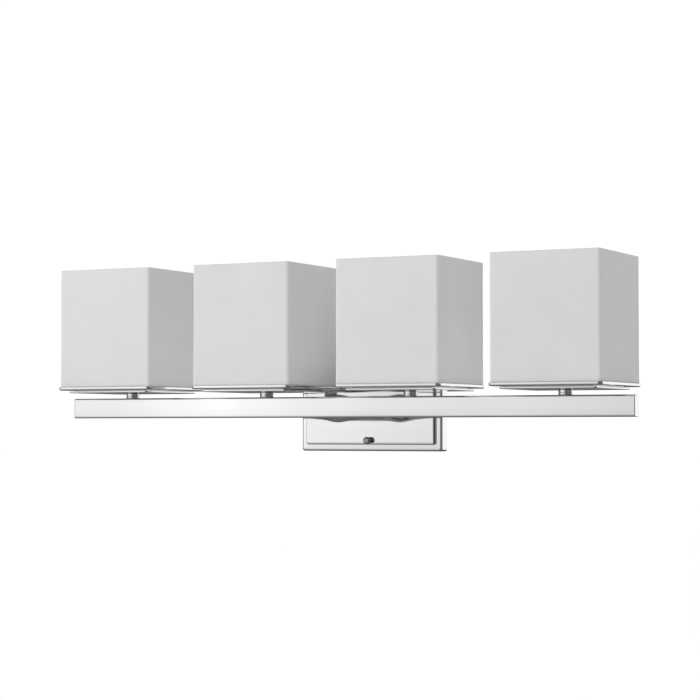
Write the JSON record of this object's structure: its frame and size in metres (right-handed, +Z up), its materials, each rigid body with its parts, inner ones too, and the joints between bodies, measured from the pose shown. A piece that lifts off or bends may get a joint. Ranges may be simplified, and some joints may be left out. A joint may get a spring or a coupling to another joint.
{
  "type": "vanity light bar",
  "caption": "Wall-mounted vanity light bar: square opal glass shades stand in trays on a rectangular chrome bar, held by arms from a stepped canopy.",
  "frame": {"origin": "middle of the canopy's back, on the wall plane", "axes": "+Z up, +X along the bar, +Y into the wall (the room is on the -Y side)"},
  "size_m": [0.762, 0.176, 0.2284],
  "materials": {
    "opal_glass": "etched opal, translucent white",
    "polished_chrome": "mirror polished",
    "satin_nickel": "grooved, dull nickel",
    "zinc_steel": "zinc plated",
    "shell_brass": "bright rolled sheet",
    "socket_phenolic": "moulded, semi-matt black",
    "ring_plastic": "moulded, semi-matt black",
    "gasket_fibre": "soft white washer",
    "green_screw": "green zinc",
    "black_insulation": "extruded insulation",
    "white_insulation": "extruded insulation",
    "bare_copper": "bare drawn copper",
    "connector_plastic": "moulded orange"
  },
  "bodies": {
    "fixture": {"shade_gasket_1": "gasket_fibre", "shade_gasket_2": "gasket_fibre", "shade_gasket_3": "gasket_fibre", "shade_gasket_4": "gasket_fibre", "shade_tray_1": "polished_chrome", "shade_tray_2": "polished_chrome", "shade_tray_3": "polished_chrome", "shade_tray_4": "polished_chrome", "tray_plate_1": "polished_chrome", "tray_plate_2": "polished_chrome", "tray_plate_3": "polished_chrome", "tray_plate_4": "polished_chrome", "post_1": "polished_chrome", "post_2": "polished_chrome", "post_3": "polished_chrome", "post_4": "polished_chrome", "socket_body_1": "socket_phenolic", "socket_body_2": "socket_phenolic", "socket_body_3": "socket_phenolic", "socket_body_4": "socket_phenolic", "screw_shell_1": "shell_brass", "screw_shell_2": "shell_brass", "screw_shell_3": "shell_brass", "screw_shell_4": "shell_brass", "center_contacts": "shell_brass", "light_nipples": "zinc_steel", "light_locknuts": "zinc_steel", "bar_tube": "polished_chrome", "end_cap_left": "polished_chrome", "end_cap_right": "polished_chrome", "arm_left": "polished_chrome", "arm_right": "polished_chrome", "arm_flange_left": "polished_chrome", "arm_flange_right": "polished_chrome", "arm_nipples": "zinc_steel", "arm_locknuts": "zinc_steel", "canopy": "polished_chrome", "wall_bracket": "zinc_steel", "bracket_studs": "zinc_steel", "stud_nuts": "zinc_steel", "ground_screw": "green_screw", "leads_black": "black_insulation", "leads_white": "white_insulation", "ground_lead": "bare_copper", "wire_connectors": "connector_plastic"},
    "shade_1": {"glass_shade_1": "opal_glass"},
    "ring_1": {"shade_ring_1": "ring_plastic"},
    "shade_2": {"glass_shade_2": "opal_glass"},
    "ring_2": {"shade_ring_2": "ring_plastic"},
    "shade_3": {"glass_shade_3": "opal_glass"},
    "ring_3": {"shade_ring_3": "ring_plastic"},
    "shade_4": {"glass_shade_4": "opal_glass"},
    "ring_4": {"shade_ring_4": "ring_plastic"},
    "thumb_nut_top": {"thumb_nut_top": "satin_nickel"},
    "thumb_nut_bottom": {"thumb_nut_bottom": "satin_nickel"}
  },
  "joints": [
    {"name": "shade_1_lift", "type": "slide", "parent": "fixture", "child": "shade_1", "axis": [0, 0, 1], "range_m": [0, 0.05]},
    {"name": "shade_2_lift", "type": "slide", "parent": "fixture", "child": "shade_2", "axis": [0, 0, 1], "range_m": [0, 0.05]},
    {"name": "shade_3_lift", "type": "slide", "parent": "fixture", "child": "shade_3", "axis": [0, 0, 1], "range_m": [0, 0.05]},
    {"name": "shade_4_lift", "type": "slide", "parent": "fixture", "child": "shade_4", "axis": [0, 0, 1], "range_m": [0, 0.05]},
    {"name": "ring_1_spin", "type": "hinge", "parent": "shade_1", "child": "ring_1", "pos_m": [-0.2952, -0.1075, 0.0337], "axis": [0, 0, 1], "continuous": true},
    {"name": "ring_2_spin", "type": "hinge", "parent": "shade_2", "child": "ring_2", "pos_m": [-0.0984, -0.1075, 0.0337], "axis": [0, 0, 1], "continuous": true},
    {"name": "ring_3_spin", "type": "hinge", "parent": "shade_3", "child": "ring_3", "pos_m": [0.0984, -0.1075, 0.0337], "axis": [0, 0, 1], "continuous": true},
    {"name": "ring_4_spin", "type": "hinge", "parent": "shade_4", "child": "ring_4", "pos_m": [0.2952, -0.1075, 0.0337], "axis": [0, 0, 1], "continuous": true},
    {"name": "thumb_nut_top_spin", "type": "hinge", "parent": "fixture", "child": "thumb_nut_top", "pos_m": [0, -0.0275, 0.0408], "axis": [0, 1, 0], "continuous": true},
    {"name": "thumb_nut_bottom_spin", "type": "hinge", "parent": "fixture", "child": "thumb_nut_bottom", "pos_m": [0, -0.0275, -0.0408], "axis": [0, 1, 0], "continuous": true}
  ]
}
